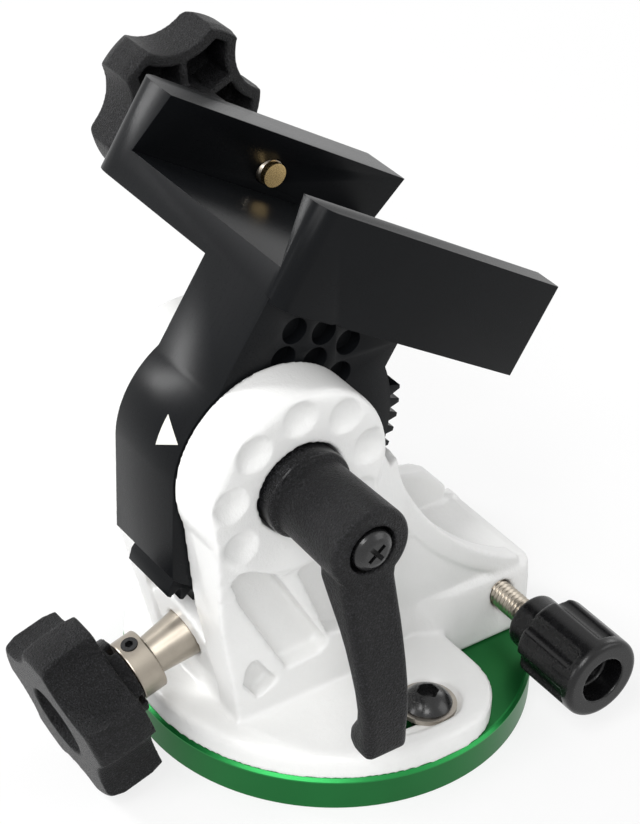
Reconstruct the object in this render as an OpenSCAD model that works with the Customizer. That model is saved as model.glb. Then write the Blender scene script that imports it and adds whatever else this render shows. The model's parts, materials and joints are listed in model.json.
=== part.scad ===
// Small equatorial wedge: a base plate turns in azimuth under a cast housing,
// and a toothed bracket with a dovetail saddle is tilted in altitude by a worm.
// Origin: centre of the base plate's underside. +Z up, altitude axis along Y.

/* [Base plate] */
// Diameter of the round base plate
base_d = 84.8; // [80:0.5:90]
// Thickness of the base plate
base_t = 7.5; // [6.5:0.5:10]
// Bright chamfer round the top edge
base_edge = 0.6; // [0.2:0.1:1.5]
// Major diameter of the tripod thread
tripod_d = 9.525; // [6.35:0.005:10]
// Depth of the tripod thread
tripod_depth = 9.2; // [6:0.1:9.5]
// Diameter of the spigot that the housing turns on
spigot_d = 18; // [15:0.5:20]
// Height of the spigot above the plate
spigot_h = 4; // [3:0.1:4.2]

/* [Azimuth] */
// Swing to each side
azimuth_swing = 7; // [3:0.5:8]
// How far the housing is turned back from the middle at rest
azimuth_rest = 5; // [0:0.5:6]
// Radius of the circle that the lock bolts stand on
lock_r = 31.5; // [30.5:0.1:32]
// Angle of the middle of the lock slots from the X axis
lock_a = 92; // [90:0.5:94]
// Distance of the push post from the centre
post_x = 33; // [32:0.1:34]
// Diameter of the push post
post_d = 8; // [7:0.1:9]
// Height of the push post's top
post_top = 18.6; // [18.4:0.1:19.4]
// Height of the azimuth screws
azimuth_z = 15.6; // [15.3:0.1:16]
// Thread diameter of the azimuth screws
azimuth_thread_d = 6; // [5:0.1:6.5]
// Diameter of the azimuth knobs
azimuth_knob_d = 17.8; // [16:0.1:19]
// Distance from the post to the azimuth knobs' collars
azimuth_knob_y = 27.9; // [27:0.1:29]
// Length of the azimuth knobs' fluted body
azimuth_knob_l = 17; // [14:0.5:20]

/* [Lock bolts] */
// Thread diameter of the lock bolts
lock_thread_d = 6; // [5:0.1:6.2]
// Head diameter of the lock bolts
lock_head_d = 10.5; // [9.5:0.1:11]
// Head height of the lock bolts
lock_head_h = 3.3; // [2.8:0.1:3.6]
// Outer diameter of the washers
lock_washer_d = 12; // [11.6:0.1:12.6]
// Thickness of the washers
lock_washer_t = 1; // [0.8:0.1:1.4]

/* [Housing] */
// Thickness of the flange on the base plate
flange_t = 5.5; // [5:0.1:6.5]
// How far the flange stays inside the base plate's edge
flange_inset = 0.3; // [0.2:0.1:1]
// Rounding of the flange's top edge
flange_round = 2; // [0.5:0.1:2.5]
// Altitude axis behind the centre
alt_x = -24.2; // [-25:0.1:-23.5]
// Height of the altitude axis
alt_z = 70; // [69.5:0.1:72]
// Radius of the ears' hub discs
hub_r = 20; // [19:0.1:20.5]
// Outer face of the lever-side ear
ear_near_y = 22; // [21:0.1:23]
// Outer face of the far ear
ear_far_y = 19.6; // [18:0.1:20.5]
// How far the ears lean in from hub to foot
ear_lean = 5.5; // [3:0.1:5.6]
// Rounding of the hub discs' edges
hub_round = 2; // [0.5:0.1:2.5]
// Diameter of the counterbore for the lever hub
hub_bore_d = 18.9; // [18.5:0.1:19.5]
// Depth of that counterbore
hub_bore_depth = 8; // [7:0.1:8.5]
// Half width of the rear part at its walls
wall_y = 13.6; // [13.4:0.1:14.4]
// Half width of the rear block at its top
boss_y = 15; // [14.8:0.1:16]
// Half width of the rear block at its foot
block_foot_y = 18.4; // [17:0.1:19]
// Rear end of the housing
rear_x = 41.5; // [41:0.1:42.5]
// Height of the rear end
rear_top = 20.5; // [20.4:0.1:21.5]
// Radius of the concave rear edge
rear_arc_r = 66.5; // [65:0.5:68]
// Rear edge of the flange beside the block
flange_rear_x = 17.2; // [16:0.1:18]
// Rounding of the flange's rear corners
flange_corner_r = 14; // [10:0.5:15]

/* [Bracket] */
// Saddle tilt at rest
saddle_tilt = 31.35; // [30:0.05:33]
// Width of the web between the ears
web_w = 20; // [19:0.1:20]
// Radius of the web's nose
web_nose_r = 20.2; // [19.5:0.1:21]
// Radius of the web's back
web_back_r = 29; // [28:0.1:29.5]
// Half length of the web under the saddle
web_half = 18; // [17:0.1:18.5]
// Altitude pivot diameter
pivot_d = 8; // [7:0.1:9]

/* [Dovetail saddle] */
// Height of the saddle's underside above the altitude axis
saddle_low = 28.4; // [28:0.1:30]
// Height of the dovetail floor above the altitude axis
saddle_floor = 35.2; // [34.5:0.1:36.5]
// Height of the jaws' tops above the altitude axis
saddle_top = 48.4; // [47.5:0.1:50]
// Length of the saddle
saddle_l = 67.4; // [64:0.1:70]
// Dovetail width at the floor
dovetail_w = 50; // [45:0.1:52]
// Dovetail slope from upright
dovetail_a = 13.5; // [10:0.5:15]
// Lever-side edge of the dovetail floor
dovetail_y = -8.9; // [-9.5:0.1:-8.5]
// Thickness of the lever-side jaw at the floor
jaw_near_t = 3.4; // [3:0.1:5]
// Thickness of the clamp-side jaw at the floor
jaw_far_t = 9.9; // [9:0.1:12]

/* [Worm drive] */
// Gear module
gear_m = 1; // [0.9:0.01:1.02]
// Teeth of the full circle
gear_teeth = 65; // [63:1:66]
// Face width of the toothed sector
gear_w = 14; // [12:0.5:16]
// Direction from the altitude axis to the worm
mesh_a = -72.5; // [-74:0.1:-71]
// Pitch radius of the worm
worm_pitch_r = 6.7; // [6.4:0.05:6.8]
// Length of the worm thread
worm_l = 18; // [14:0.5:18.5]
// Diameter of the worm shaft
shaft_d = 6; // [5:0.1:6.5]
// Diameter of the stop collar
collar_d = 12.7; // [11:0.1:14]
// Thinning of each worm thread flank
backlash = 0.15; // [0.1:0.01:0.25]

/* [Star knobs] */
// Radius of the star knobs
star_r = 18.8; // [17:0.1:20]
// Number of lobes
star_lobes = 5; // [5:1:6]
// Radius of the finger scallops
scallop_r = 11.5; // [10:0.1:13]
// Half angle of a lobe's tip
lobe_half_a = 11.2; // [9:0.1:13]
// Wall thickness of the hollow knobs
star_wall = 2.6; // [2:0.1:3.2]
// Thickness of the altitude knob's star
altitude_star_t = 12.5; // [10:0.1:15]
// Thickness of the clamp knob's star
clamp_star_t = 11; // [9:0.1:13]
// Diameter of the clamp screw
clamp_thread_d = 6; // [5:0.1:6.5]

/* [Clamp lever] */
// Radius of the lever hub
lever_hub_r = 9.05; // [8.9:0.05:9.1]
// Radius of the lever hub behind its arm
lever_waist_r = 8; // [7.6:0.1:8.4]
// Radius of the recess round the lever's screw
lever_recess_r = 4.9; // [4.8:0.1:5.4]
// Distance of the lever hub's end from the centre plane
lever_end_y = 44; // [43:0.1:46]
// Length of the lever arm
lever_l = 42; // [40:0.5:44]
// Width of the lever arm
lever_w = 9.7; // [9:0.1:10.5]
// Pull that lifts the lever off its splines
lever_pull = 2.5; // [2:0.1:2.8]

/* [Fits] */
// Radial gap of shafts in bores
run_fit = 0.05; // [0.03:0.01:0.08]
// Gap between faces that slide on each other
slide_gap = 0.1; // [0.05:0.05:0.2]

/* [Hidden] */
$fn = 96;
eps = 0.01;
big = 200;

// Base plate and flange
base_r = base_d / 2;
flange_r = base_r - flange_inset;
flange_z = base_t + slide_gap;
flange_top = flange_z + flange_t - slide_gap;
spigot_r = spigot_d / 2;
spigot_top = base_t + spigot_h;
post_sink = 4.5;
post_shift = post_x * sin(azimuth_rest);
trough_floor = 20;
arc_left = 0.7;
arc_low = 16.4;
rear_arc = [rear_arc_r - arc_left, rear_arc_r + arc_low];
lip_w = 4.2;
lip_out = 0.8;
lock_floor = flange_top - 1.3;
lock_slot_r = lock_thread_d / 2 + 0.3;
lock_pocket_r = lock_washer_d / 2 + 0.25;
lock_head_z = lock_floor + slide_gap + lock_washer_t;

// Ears
gap_y = web_w / 2 + slide_gap;
ear_fold_z = alt_z - 6;
ear_seat_y = ear_near_y - hub_bore_depth;
bolt_recess_y = ear_far_y - 5.5;

// Gear and worm
pitch_r = gear_m * gear_teeth / 2;
gear_tip_r = pitch_r + gear_m;
gear_root_r = pitch_r - 1.25 * gear_m;
tooth_step = 360 / gear_teeth;
first_tooth_a = 34.05;
sector_teeth = 24;
worm_lead = PI * gear_m;
worm_tip_r = worm_pitch_r + gear_m;
worm_root_r = worm_pitch_r - 1.25 * gear_m;
centre_distance = pitch_r + worm_pitch_r;
worm_tilt = 90 + mesh_a;
shaft_r = shaft_d / 2;
chamber_r = worm_tip_r + 0.6;
chamber_half = worm_l / 2 + 0.5;
cavity_r = gear_tip_r + 0.7;
boss_face_s = -24.1;
bush_end_s = -32.3;
collar_t = 5.4;
collar_s = bush_end_s - 0.3;
knob_boss_s = collar_s - collar_t - 0.4;
star_s = knob_boss_s - 3.6;
rear_bush_t = 5.3;
plug_t = 3;
rear_bush_s = chamber_half + 0.1;
plug_s = rear_bush_s + rear_bush_t + 0.1;

// Saddle, in the bracket's own frame
saddle_u0 = -web_half;
saddle_u1 = saddle_u0 + saddle_l;
jaw_h = saddle_top - saddle_floor;
undercut = jaw_h * tan(dovetail_a);
saddle_y0 = dovetail_y - jaw_near_t;
saddle_y1 = dovetail_y + dovetail_w + jaw_far_t;
clamp_u = (saddle_u0 + saddle_u1) / 2;
clamp_w = saddle_floor + 5;
clamp_jaw_y = dovetail_y + dovetail_w - (clamp_w - saddle_floor) * tan(dovetail_a);
clamp_tip_y = clamp_jaw_y - 2;
clamp_boss_y = 62;
clamp_star_y = 69.8;
clamp_lobe_a = 163.8;

// Clamp lever, as distances from the centre plane on the lever side
washer_y = ear_seat_y + slide_gap;
washer_t = 1.2;
insert_y = washer_y + washer_t + slide_gap;
insert_r = 6;
insert_end = insert_y + 18;
tail_r = 3.2;
shoulder_y = insert_end + 0.4;
shoulder_t = 2.2;
screw_head_h = 2.6;
screw_head_y = lever_end_y + 1.2 - screw_head_h;
collar_end_y = 25;
spring_room = screw_head_y - shoulder_y - shoulder_t;

function unit(v) = v / norm(v);

// Corner b of an outline, rounded with radius r between its neighbours a and c
function corner(a, b, c, r, n) =
    let (u = unit(a - b), v = unit(c - b), h = acos(u * v) / 2,
         o = b + unit(u + v) * r / sin(h),
         s = b + u * r / tan(h) - o, e = b + v * r / tan(h) - o,
         from = atan2(s.y, s.x), sweep = atan2(s.x * e.y - s.y * e.x, s * e))
    [for (k = [0:n]) o + r * [cos(from + sweep * k / n), sin(from + sweep * k / n)]];

// Outline whose points are [x, y, corner radius]
function rounded(p, n = 6) =
    [for (i = [0:len(p) - 1])
        let (q = p[i], a = p[(i + len(p) - 1) % len(p)], c = p[(i + 1) % len(p)])
        each (q.z > 0 ? corner([a.x, a.y], [q.x, q.y], [c.x, c.y], q.z, n) : [[q.x, q.y]])];

// Flat shape in X and Z, thick from y0 to y1
module slab_y(y0, y1) {
    translate([0, y1, 0]) rotate([90, 0, 0]) linear_extrude(y1 - y0) children();
}

module rod_y(r, y0, y1) {
    translate([0, y1, 0]) rotate([90, 0, 0]) cylinder(r = r, h = y1 - y0);
}

module at_pivot() {
    translate([alt_x, 0, alt_z]) children();
}

module at_bracket() {
    at_pivot() rotate([0, saddle_tilt, 0]) children();
}

// Frame of the worm: local Z along the worm, local -X towards the gear
module at_worm() {
    translate([alt_x + centre_distance * cos(mesh_a), 0, alt_z + centre_distance * sin(mesh_a)])
        rotate([0, 90 - worm_tilt, 0]) children();
}

module tube(r_out, r_in, h) {
    difference() {
        cylinder(r = r_out, h = h);
        translate([0, 0, -eps]) cylinder(r = r_in, h = h + 2 * eps);
    }
}

// Slot of half width w along an arc of radius r, from angle a0 to a1, with round ends
module arc_slot(r, w, a0, a1) {
    n = 12;
    cap_end = r * [cos(a1), sin(a1)];
    cap_start = r * [cos(a0), sin(a0)];
    polygon(concat(
        [for (k = [0:n - 1]) let (a = a0 + (a1 - a0) * k / n) (r + w) * [cos(a), sin(a)]],
        [for (k = [0:n - 1]) let (a = a1 + 180 * k / n) cap_end + w * [cos(a), sin(a)]],
        [for (k = [0:n - 1]) let (a = a1 - (a1 - a0) * k / n) (r - w) * [cos(a), sin(a)]],
        [for (k = [0:n - 1]) let (a = a0 + 180 + 180 * k / n) cap_start + w * [cos(a), sin(a)]]));
}

// Frame of the base's own parts, turned as far as the housing is turned back
module at_base() {
    rotate(azimuth_rest) children();
}

module lock_places() {
    at_base() for (side = [-1, 1]) rotate(side * lock_a) translate([lock_r, 0, 0]) children();
}

// ---- base plate ----

module base_plate() {
    color("darkgreen") difference() {
        union() {
            rotate_extrude() polygon([[0, 0], [base_r - base_edge / 2, 0], [base_r, base_edge / 2],
                [base_r, base_t - base_edge], [base_r - base_edge, base_t], [0, base_t]]);
            cylinder(r = spigot_r, h = spigot_top);
        }
        translate([0, 0, -eps]) cylinder(d = tripod_d, h = tripod_depth + eps);
        lock_places() translate([0, 0, -eps])
            cylinder(d = lock_thread_d, h = base_t + 2 * eps);
        at_base() translate([post_x, 0, base_t - post_sink])
            cylinder(r = post_d / 2 + run_fit, h = post_sink + eps);
    }
}

module azimuth_post() {
    color("silver") at_base() translate([post_x, 0, base_t - post_sink])
        cylinder(d = post_d, h = post_top - base_t + post_sink);
}

module azimuth_lock_bolts() {
    color("dimgray") lock_places() difference() {
        union() {
            translate([0, 0, 1]) cylinder(r = lock_thread_d / 2 - run_fit, h = lock_head_z - 1 + eps);
            translate([0, 0, lock_head_z]) button_head(lock_head_d / 2, lock_head_h);
        }
        translate([0, 0, lock_head_z + lock_head_h - 2]) cylinder(d = 4.6, h = 3, $fn = 6);
    }
}

// Domed screw head that sits on the plane z = 0
module button_head(r, h) {
    dome = (r * r + h * h) / (2 * h);
    intersection() {
        translate([0, 0, h - dome]) sphere(dome);
        cylinder(r = r * 0.97, h = h);
    }
}

module azimuth_lock_washers() {
    color("silver") lock_places() translate([0, 0, lock_floor + slide_gap / 2])
        tube(lock_washer_d / 2, lock_thread_d / 2 + 0.2, lock_washer_t);
}

// ---- housing ----

// Rear end of the flange, with corners that run into the rim
module flange_outline() {
    corner_x = flange_rear_x - flange_corner_r;
    corner_y = sqrt(pow(flange_r - flange_corner_r, 2) - corner_x * corner_x);
    rim_a = atan2(corner_y, corner_x);
    half = concat([[flange_rear_x, 0]],
        [for (k = [0:8]) [corner_x, corner_y] + flange_corner_r * [cos(rim_a * k / 8), sin(rim_a * k / 8)]],
        [big * [cos(rim_a), sin(rim_a)], [-big, big], [-big, 0]]);
    for (side = [0, 1]) mirror([0, side]) polygon(half);
}

module flange() {
    intersection() {
        translate([0, 0, flange_z - 1]) linear_extrude(flange_t + 2) flange_outline();
        rotate_extrude() polygon(rounded([[0, flange_z, 0], [flange_r, flange_z, 0],
            [flange_r, flange_top, flange_round], [0, flange_top, 0]]));
    }
}

// Side view of an ear with its rear wall
module ear_side() {
    polygon([[alt_x, alt_z + 5], [alt_x - hub_r + 0.9, alt_z - 2], [-39.8, 42], [-36.2, 26.6],
        [-32, flange_z + 1], [rear_x, flange_z + 1], [rear_x, rear_top], [12, 63], [-0.5, 63],
        [alt_x + hub_r - 2, alt_z + 3]]);
}

// Top view of one side: the ear and the wall behind it
module side_plan(outer_y, back_y) {
    polygon(rounded([[-60, gap_y, 0], [-60, outer_y, 0], [-7, outer_y, 6], [7, back_y, 14],
        [rear_x - 4, back_y, 0], [rear_x - 4, gap_y, 0]], 8));
}

module ear(outer_y, back_y) {
    lean_a = atan(ear_lean / (ear_fold_z - flange_top));
    intersection() {
        slab_y(gap_y, outer_y) ear_side();
        linear_extrude(big) side_plan(outer_y, back_y);
        union() {
            translate([-big / 2, 0, ear_fold_z]) cube([big, outer_y, big]);
            translate([-big / 2, outer_y, ear_fold_z]) rotate([-lean_a, 0, 0])
                translate([0, -big, -big]) cube([big, big, big]);
        }
    }
    at_pivot() rotate([-90, 0, 0]) rotate_extrude() polygon(rounded([[0, gap_y, 0],
        [hub_r, gap_y, 0], [hub_r, outer_y, hub_round], [0, outer_y, 0]]));
}

// Pockets in the ear's outer face, drawn in side view
module ear_pockets() {
    polygon(rounded([[-38.2, 52.6, 1.2], [-35.8, 55.1, 1], [-29, 51.5, 2], [-25.5, 46.3, 2],
        [-12.1, 23.8, 2], [-22.7, 22.8, 1.5], [-35.7, 45.9, 3]]));
    polygon(rounded([[-31.9, 30.9, 1.2], [-33, 23.4, 1.5], [-29.1, 17.7, 1.5], [-24.4, 20.4, 1.5]]));
    polygon(rounded([[-23.9, 50.7, 2], [-15, 50, 2], [-6.5, 50.7, 2], [-6.5, 26, 2], [-13.5, 27.5, 2]]));
}

module hub_dimples() {
    dimple_r = 6;
    dimple_depth = 1.5;
    for (k = [0:8]) rotate([0, -(93 + 40 * k), 0])
        translate([15.8, -ear_near_y - dimple_r + dimple_depth, 0]) sphere(dimple_r, $fn = 48);
}

module housing() {
    color("white") difference() {
        union() {
            flange();
            mirror([0, 1, 0]) ear(ear_near_y, wall_y);
            ear(ear_far_y, boss_y - 0.3);
            // Bearing block under the gear
            translate([-33, -gap_y - 1, flange_z + 1]) cube([40, 2 * gap_y + 2, 44]);
            at_worm() translate([0, 0, boss_face_s]) intersection() {
                cylinder(r = 10.5, h = 14);
                translate([-20, -gap_y - 1, 0]) cube([40, 2 * gap_y + 2, 20]);
            }
            rear_block();
            wall_lip();
            // Floor between the side walls
            slab_y(-gap_y - 1, gap_y + 1) polygon(concat([[0, flange_z], [rear_x - 8, flange_z],
                [rear_x - 8, trough_floor], [33, trough_floor]], [for (x = [30:-2:0]) [x, trough_z(x)]]));
        }
        // Concave rear edge
        translate([rear_arc.x, 0, rear_arc.y]) rod_y(rear_arc_r, -40, gap_y);
        slab_y(gap_y - eps, 40) far_wall_top();
        // Room for the toothed sector
        at_pivot() rod_y(cavity_r, -gap_y, gap_y);
        // Spigot bore
        translate([0, 0, flange_z - eps]) cylinder(r = spigot_r + run_fit, h = spigot_top - base_t + 0.1);
        // Worm bearings
        at_worm() {
            translate([0, 0, -chamber_half]) cylinder(r = chamber_r, h = 60);
            translate([0, 0, -50]) cylinder(r = 5 + run_fit, h = 50);
        }
        // Altitude pivot
        at_pivot() {
            rod_y(pivot_d / 2 + run_fit, -ear_near_y - 1, ear_far_y + 1);
            rod_y(hub_bore_d / 2, -ear_near_y - 1, -ear_seat_y);
            translate([0, ear_far_y + 1, 0]) rotate([90, 0, 0])
                cylinder(d = 15.2, h = ear_far_y + 1 - bolt_recess_y, $fn = 6);
            hub_dimples();
        }
        slab_y(-ear_near_y - 1, -13.5) ear_pockets();
        slab_y(13.5, ear_far_y + 1) ear_pockets();
        // Lock bolt slots and their pockets
        for (side = [-1, 1]) {
            translate([0, 0, flange_z - 1]) linear_extrude(10)
                arc_slot(lock_r, lock_slot_r, side * lock_a - azimuth_swing, side * lock_a + azimuth_swing);
            translate([0, 0, lock_floor]) linear_extrude(6)
                arc_slot(lock_r, lock_pocket_r, side * lock_a - azimuth_swing, side * lock_a + azimuth_swing);
        }
        // Window for the push post
        translate([0, 0, flange_z - 1]) linear_extrude(post_top + 0.3 - flange_z + 1)
            arc_slot(post_x, post_d / 2 + 0.4, -azimuth_swing - 0.5, azimuth_swing + 0.5);
        // Azimuth screw threads
        translate([post_x, 0, azimuth_z]) rod_y(azimuth_thread_d / 2 + run_fit, -block_foot_y, block_foot_y);
    }
}

// Height at x of the line that runs d below the concave rear edge
function rear_z(x, d) = rear_arc.y - sqrt(pow(rear_arc_r + d, 2) - pow(rear_arc.x - x, 2));

function trough_z(x) = max(trough_floor, rear_z(x, 5));

// Raised lip along the lever-side wall's rear edge
module wall_lip() {
    slab_y(-wall_y - lip_out, -wall_y + 1) polygon(concat([for (x = [2:3:38]) [x, rear_z(x, lip_w)]],
        [for (x = [38:-3:2]) [x, rear_z(x, -1)]]));
}

// Block that the azimuth screws run in, wider at its foot
module rear_block() {
    inner_y = wall_y - 0.4;
    top_z = rear_top + 1.6;
    half = [[block_foot_y, flange_z, 0], [boss_y, rear_top - 1, 4], [inner_y, top_z, 0]];
    section = rounded(concat(half, [for (k = [2:-1:0]) [-half[k].x, half[k].y, half[k].z]]));
    intersection() {
        hull() {
            translate([20, 0, 0]) rotate([90, 0, 90]) linear_extrude(rear_x - 20) polygon(section);
            translate([11, -inner_y, flange_z]) cube([1, 2 * inner_y, top_z - flange_z]);
        }
        linear_extrude(big) polygon(rounded([[8, -30, 0], [28, -30, 0], [28, -block_foot_y, 0],
            [rear_x, -block_foot_y, 7], [rear_x, block_foot_y, 7], [28, block_foot_y, 0], [28, 30, 0],
            [8, 30, 0]], 8));
    }
}

// What lies above the far wall behind the ear
module far_wall_top() {
    polygon(rounded([[rear_x + 5, rear_top - 5], [33.4, 30.2], [30.2, 32], [24, 33.6], [12, 44.8],
        [0, 64.5], [60, 64.5], [60, rear_top - 5]], 4));
}

// ---- altitude pivot and clamp lever ----

module altitude_bolt() {
    color("silver") at_pivot() {
        rod_y(pivot_d / 2, -insert_end + 4, bolt_recess_y + 1);
        translate([0, bolt_recess_y + 5.3, 0]) rotate([90, 0, 0]) cylinder(d = 15, h = 5.2, $fn = 6);
    }
}

module lever_washer() {
    color("silver") at_pivot() translate([0, -washer_y, 0]) rotate([90, 0, 0])
        tube(lever_hub_r - 0.4, pivot_d / 2 + 0.2, washer_t);
}

module lever_insert() {
    color("goldenrod") at_pivot() rotate([90, 0, 0]) difference() {
        union() {
            translate([0, 0, insert_y]) cylinder(r = insert_r, h = insert_end - insert_y);
            for (k = [0:11]) rotate(30 * k)
                translate([insert_r - 0.5, -0.5, insert_y]) cube([1, 1, insert_end - insert_y]);
            translate([0, 0, insert_end - eps]) cylinder(r = tail_r, h = screw_head_y - 0.1 - insert_end);
        }
        translate([0, 0, insert_y - eps]) cylinder(r = pivot_d / 2 + run_fit, h = 15);
        translate([0, 0, screw_head_y - 8]) cylinder(r = 2 + run_fit, h = 9);
    }
}

// Ring of the lever arm: an upright stack of rounded rectangles, given as
// [distance below the axis, outer face, thickness, half width, corner radius]
function arm_ring(s, n = 5) =
    [for (q = [[1, 1], [-1, 1], [-1, -1], [1, -1]], k = [0:n - 1])
        let (a = atan2(q.y, q.x) - 45 + 90 * k / (n - 1), r = s[4])
        [q.x * (s[3] - r) + r * cos(a), -(s[1] - s[2] / 2) + q.y * (s[2] / 2 - r) + r * sin(a), -s[0]]];

module arm_loft(stations) {
    rings = [for (s = stations) arm_ring(s)];
    n = len(rings[0]);
    last = (len(rings) - 1) * n;
    points = [for (ring = rings) each ring];
    sides = [for (i = [0:len(rings) - 2], k = [0:n - 1])
        let (a = i * n, b = a + n, m = (k + 1) % n) each [[a + k, a + m, b + m], [a + k, b + m, b + k]]];
    polyhedron(points, concat([[for (k = [n - 1:-1:0]) k]], [[for (k = [0:n - 1]) last + k]], sides));
}

module lever_handle() {
    y = lever_end_y;
    end_w = lever_w / 2;
    l = lever_l;
    arm = [[2, y, 8, 6.2, 1.5], [8, y + 0.2, 8.6, 5.9, 1.8], [12, y + 1.8, 7.6, 5.72, 1.8],
        [16, y + 3.2, 6, 5.65, 1.7], [20, y + 4.4, 4.8, 5.57, 1.6], [24, y + 5.6, 4.2, 5.42, 1.5],
        [28, y + 6.7, 3.9, 5.25, 1.5], [32, y + 7.5, 3.8, end_w + 0.2, 1.4],
        [l - 7.4, y + 7.8, 4.2, end_w + 0.15, 1.5], [l - 6, y + 7.95, 5.3, end_w + 0.1, 1.8],
        [l - 4, y + 8.1, 6.6, end_w, 2], [l - 2, y + 8.2, 6.8, end_w, 2],
        [l - 0.7, y + 8.2, 5.6, end_w - 0.1, 1.8], [l, y + 8, 3.4, end_w - 0.5, 1.2]];
    color("dimgray") at_pivot() difference() {
        union() {
            rotate([90, 0, 0]) rotate_extrude() polygon(rounded([[0, insert_y + 0.2, 0],
                [lever_hub_r, insert_y + 0.2, 0], [lever_hub_r, collar_end_y, 0.4],
                [lever_waist_r, collar_end_y, 0],
                [lever_waist_r + 0.4, lever_end_y, 1.2], [0, lever_end_y, 0]]));
            arm_loft(arm);
        }
        rotate([90, 0, 0]) {
            cylinder(r = insert_r + 0.7, h = shoulder_y);
            cylinder(r = tail_r + 0.15, h = lever_end_y + 1);
            translate([0, 0, shoulder_y + shoulder_t]) cylinder(r = lever_recess_r, h = 20);
        }
    }
}

// Compression spring round the insert's tail
module lever_spring() {
    wire_r = 0.45;
    coil_r = tail_r + wire_r + 0.2;
    turns = 2.5;
    length = spring_room - lever_pull - 0.3;
    sides = 8;
    per_turn = 20;
    rings = turns * per_turn;
    points = [for (i = [0:rings], k = [0:sides - 1])
        let (a = 360 * i / per_turn, b = 360 * k / sides, r = coil_r + wire_r * cos(b))
        [r * cos(a), r * sin(a), wire_r + (length - 2 * wire_r) * i / rings + wire_r * sin(b)]];
    faces = concat([[for (k = [sides - 1:-1:0]) k]], [[for (k = [0:sides - 1]) rings * sides + k]],
        [for (i = [0:rings - 1], k = [0:sides - 1])
            let (a = i * sides, b = a + sides, n = (k + 1) % sides) each [[a + k, a + n, b + n],
                [a + k, b + n, b + k]]]);
    color("silver") at_pivot() rotate([90, 0, 0])
        translate([0, 0, screw_head_y - 0.1 - length]) polyhedron(points, faces);
}

module lever_screw() {
    color("dimgray") at_pivot() rotate([90, 0, 0]) difference() {
        union() {
            translate([0, 0, screw_head_y - 7]) cylinder(r = 2, h = 7 + eps);
            translate([0, 0, screw_head_y]) rotate_extrude() polygon(rounded([[0, 0, 0], [4.2, 0, 0],
                [4.2, screw_head_h * 0.6, 1.2], [2.7, screw_head_h, 2], [0, screw_head_h, 0]]));
        }
        for (a = [40, 130]) rotate(a) translate([-2.1, -0.45, screw_head_y + screw_head_h - 1.5])
            cube([4.2, 0.9, 2]);
    }
}

// ---- toothed bracket with its saddle ----

// Everything on the bracket's side of the nose line, which is upright at rest
module behind_nose() {
    rotate(180 + saddle_tilt) translate([-big, -big / 2]) square([big + web_nose_r - 0.01, big]);
}

module web_side() {
    circle(web_nose_r);
    translate([-web_half, 0]) square([2 * web_half, saddle_low + 1]);
    intersection() {
        circle(web_back_r);
        behind_nose();
        // Below the nose in front, and up to the saddle at the back
        polygon([[0, 0], big * [cos(180 + saddle_tilt), sin(180 + saddle_tilt)],
            big * [cos(270 + saddle_tilt), sin(270 + saddle_tilt)], [big, 0], [big, big], [0, big]]);
    }
}

// Toothed sector, tooth by tooth from its upper end
module gear_side() {
    tip_a = atan((PI / 4 * gear_m - tan(20) * gear_m) / gear_tip_r);
    root_a = atan((PI / 4 * gear_m + 1.25 * tan(20) * gear_m) / gear_root_r);
    intersection() {
        polygon(concat([[0, 0]], [for (k = [0:sector_teeth - 1])
            let (a = first_tooth_a - k * tooth_step)
            each [for (p = [[gear_root_r, root_a], [gear_tip_r, tip_a], [gear_tip_r, -tip_a],
                [gear_root_r, -root_a]]) p[0] * [cos(a + p[1]), sin(a + p[1])]]]));
        behind_nose();
    }
}

module web_pockets() {
    pocket_r = 2.7;
    pocket_deep = 2.6;
    for (ring = [[26.1, 93, 15.5], [20.4, 90, 21.5]], k = [-1:1])
        rotate([0, -(ring[1] - k * ring[2]), 0]) translate([ring[0], 0, 0])
            rod_y(pocket_r, -web_w, -web_w / 2 + pocket_deep);
}

module altitude_bracket() {
    color("dimgray") at_bracket() difference() {
        union() {
            slab_y(-web_w / 2, web_w / 2) web_side();
            slab_y(-gear_w / 2, gear_w / 2) gear_side();
            translate([0, 0, saddle_low]) linear_extrude(saddle_top - saddle_low)
                polygon(rounded([[saddle_u0, saddle_y0, 4], [saddle_u1, saddle_y0, 0.5],
                    [saddle_u1, saddle_y1, 0.5], [saddle_u0, saddle_y1, 6]]));
        }
        // Dovetail channel
        translate([saddle_u0 - 1, 0, 0]) rotate([90, 0, 90]) linear_extrude(saddle_l + 2)
            polygon([[dovetail_y, saddle_floor], [dovetail_y + dovetail_w, saddle_floor],
                [dovetail_y + dovetail_w - undercut, saddle_top],
                [dovetail_y + dovetail_w - undercut, saddle_top + 5],
                [dovetail_y + undercut, saddle_top + 5], [dovetail_y + undercut, saddle_top]]);
        rod_y(pivot_d / 2 + run_fit, -web_w, web_w);
        translate([clamp_u, 0, clamp_w]) rod_y(clamp_thread_d / 2 + run_fit, clamp_jaw_y - 5, saddle_y1 + 1);
        web_pockets();
    }
}

// ---- worm drive ----

// Cross-section of the single-start worm, crest at angle 0
module worm_section() {
    half_pitch = PI / 4 * gear_m - backlash;
    crest = (half_pitch - gear_m * tan(20)) * 360 / worm_lead;
    root = (half_pitch + 1.25 * gear_m * tan(20)) * 360 / worm_lead;
    polygon([for (p = [[-crest, worm_tip_r], [0, worm_tip_r], [crest, worm_tip_r],
        [(crest + root) / 2, worm_pitch_r - 0.125 * gear_m], [root, worm_root_r],
        for (k = [1:7]) [root + (360 - 2 * root) * k / 8, worm_root_r],
        [-root, worm_root_r], [-(crest + root) / 2, worm_pitch_r - 0.125 * gear_m]])
        p[1] * [cos(p[0]), sin(p[0])]]);
}

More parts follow.
